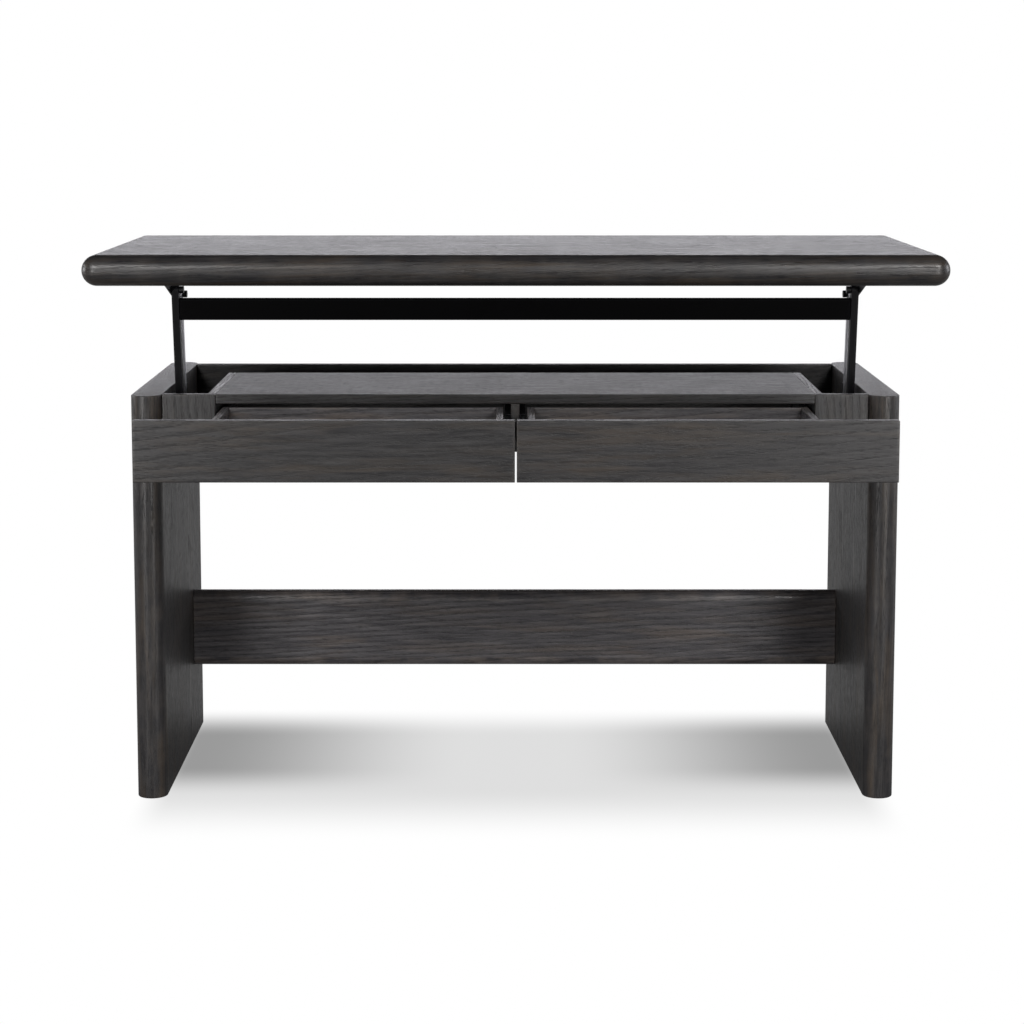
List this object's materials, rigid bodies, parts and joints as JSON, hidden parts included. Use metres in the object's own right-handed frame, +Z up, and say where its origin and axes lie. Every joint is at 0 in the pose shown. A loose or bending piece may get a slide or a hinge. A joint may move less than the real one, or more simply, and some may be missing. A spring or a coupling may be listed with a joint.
{
  "type": "lift-top desk",
  "caption": "Dark oak desk with slab legs, a stretcher, a bullnose top raised forward on parallel steel arms, and two drawers pulled out.",
  "frame": {"origin": "centre of the overall box on the floor, with the top raised forward and the drawers pulled out", "axes": "+X to the right along the desk, +Y from the drawers to the back, +Z up"},
  "size_m": [1.422, 0.8876, 1.009],
  "materials": {
    "top_wood": "charcoal-stained oak, satin",
    "leg_wood": "charcoal-stained oak, satin",
    "frame_wood": "charcoal-stained oak, satin",
    "front_wood": "charcoal-stained oak veneer, satin",
    "panel_wood": "charcoal-stained oak veneer, satin",
    "drawer_wood": "charcoal-stained, matt",
    "floor_board": "dark faced board, matt",
    "black_steel": "black powder coat",
    "zinc_steel": "zinc plate",
    "slide_steel": "dark zinc plate",
    "glide_plastic": "moulded nylon"
  },
  "bodies": {
    "carcass": {"back_apron": "frame_wood", "back_left_glide": "glide_plastic", "back_right_glide": "glide_plastic", "centre_partition": "panel_wood", "compartment_back": "panel_wood", "front_left_glide": "glide_plastic", "front_right_glide": "glide_plastic", "left_base_plate": "black_steel", "left_counterbalance_spring": "zinc_steel", "left_divider": "panel_wood", "left_front_panel": "panel_wood", "left_inner_cabinet_slide": "slide_steel", "left_leg": "leg_wood", "left_lower_arm_bolt": "black_steel", "left_lower_link_bolt": "black_steel", "left_outer_cabinet_slide": "slide_steel", "left_well_floor": "floor_board", "right_base_plate": "black_steel", "right_counterbalance_spring": "zinc_steel", "right_divider": "panel_wood", "right_front_panel": "panel_wood", "right_inner_cabinet_slide": "slide_steel", "right_leg": "leg_wood", "right_lower_arm_bolt": "black_steel", "right_lower_link_bolt": "black_steel", "right_outer_cabinet_slide": "slide_steel", "right_well_floor": "floor_board", "shelf_panel": "frame_wood", "stretcher": "frame_wood", "trough_floor": "floor_board"},
    "front_arms": {"left_front_arm": "black_steel", "right_front_arm": "black_steel", "crossbar": "black_steel"},
    "top": {"table_top": "top_wood", "left_top_bracket": "black_steel", "right_top_bracket": "black_steel", "left_upper_arm_bolt": "black_steel", "left_upper_link_bolt": "black_steel", "right_upper_arm_bolt": "black_steel", "right_upper_link_bolt": "black_steel"},
    "rear_links": {"left_rear_link": "zinc_steel", "right_rear_link": "zinc_steel"},
    "left_drawer": {"left_drawer_front": "front_wood", "left_drawer_inner_side": "drawer_wood", "left_drawer_outer_side": "drawer_wood", "left_drawer_back": "drawer_wood", "left_drawer_bottom": "drawer_wood", "left_inner_drawer_slide": "slide_steel", "left_outer_drawer_slide": "slide_steel"},
    "right_drawer": {"right_drawer_front": "front_wood", "right_drawer_inner_side": "drawer_wood", "right_drawer_outer_side": "drawer_wood", "right_drawer_back": "drawer_wood", "right_drawer_bottom": "drawer_wood", "right_inner_drawer_slide": "slide_steel", "right_outer_drawer_slide": "slide_steel"},
    "left_slide_middles": {"left_inner_middle_slide": "slide_steel", "left_outer_middle_slide": "slide_steel"},
    "right_slide_middles": {"right_inner_middle_slide": "slide_steel", "right_outer_middle_slide": "slide_steel"}
  },
  "joints": [
    {"name": "lift", "type": "hinge", "parent": "carcass", "child": "front_arms", "pos_m": [0, 0.07204, 0.6614], "axis": [1, 0, 0], "range_deg": [-92.3, 0]},
    {"name": "top_level", "type": "hinge", "parent": "front_arms", "child": "top", "pos_m": [0, 0.02568, 0.91652], "axis": [1, 0, 0], "range_deg": [0, 92.3]},
    {"name": "rear_link_swing", "type": "hinge", "parent": "carcass", "child": "rear_links", "pos_m": [0, 0.12404, 0.6494], "axis": [1, 0, 0], "range_deg": [-92.3, 0]},
    {"name": "left_drawer_slide", "type": "slide", "parent": "carcass", "child": "left_drawer", "axis": [0, -1, 0], "range_m": [-0.3267, 0.006]},
    {"name": "left_middle_slide", "type": "slide", "parent": "carcass", "child": "left_slide_middles", "axis": [0, -1, 0], "range_m": [-0.16335, 0.003]},
    {"name": "right_drawer_slide", "type": "slide", "parent": "carcass", "child": "right_drawer", "axis": [0, -1, 0], "range_m": [-0.3267, 0.006]},
    {"name": "right_middle_slide", "type": "slide", "parent": "carcass", "child": "right_slide_middles", "axis": [0, -1, 0], "range_m": [-0.16335, 0.003]}
  ],
  "couplings": [
    {"joint": "top_level", "follows": "lift", "ratio": -1},
    {"joint": "rear_link_swing", "follows": "lift", "ratio": 1},
    {"joint": "left_middle_slide", "follows": "left_drawer_slide", "ratio": 0.5},
    {"joint": "right_middle_slide", "follows": "right_drawer_slide", "ratio": 0.5}
  ]
}
